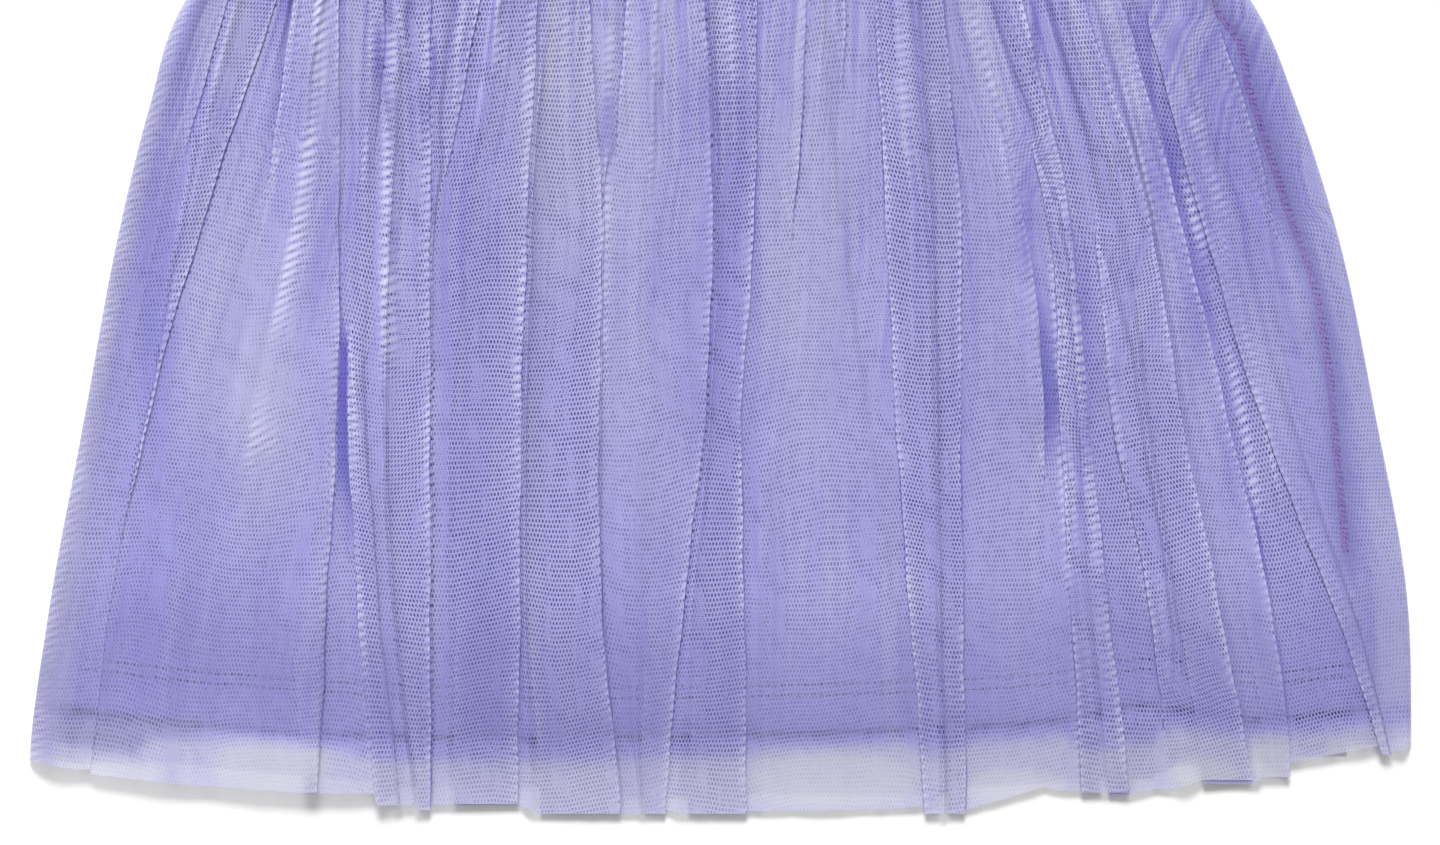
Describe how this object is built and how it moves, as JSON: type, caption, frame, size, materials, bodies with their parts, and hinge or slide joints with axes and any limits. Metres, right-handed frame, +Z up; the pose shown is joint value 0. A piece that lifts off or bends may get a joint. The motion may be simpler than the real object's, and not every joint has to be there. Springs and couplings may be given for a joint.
{
  "type": "tulle dress laid flat",
  "caption": "Sleeveless child's dress laid flat: jersey bodice, gathered tulle skirt with folded-over pleats, jersey lining skirt inside.",
  "frame": {"origin": "middle of the garment's outline on the surface it lies on", "axes": "+X to the right as seen in the picture, +Y from the hem towards the shoulders, +Z up off the surface"},
  "size_m": [0.5266, 0.632, 0.0101],
  "materials": {
    "tulle": "soft hexagonal net, lavender blue, matt with a faint sheen",
    "lining_jersey": "fine periwinkle jersey knit, matt",
    "bodice_jersey": "fine periwinkle jersey knit, matt"
  },
  "bodies": {
    "root": {"tulle_front": "tulle", "tulle_back": "tulle", "lining_front": "lining_jersey", "lining_back": "lining_jersey", "bodice_front": "bodice_jersey", "bodice_back": "bodice_jersey"}
  },
  "joints": []
}
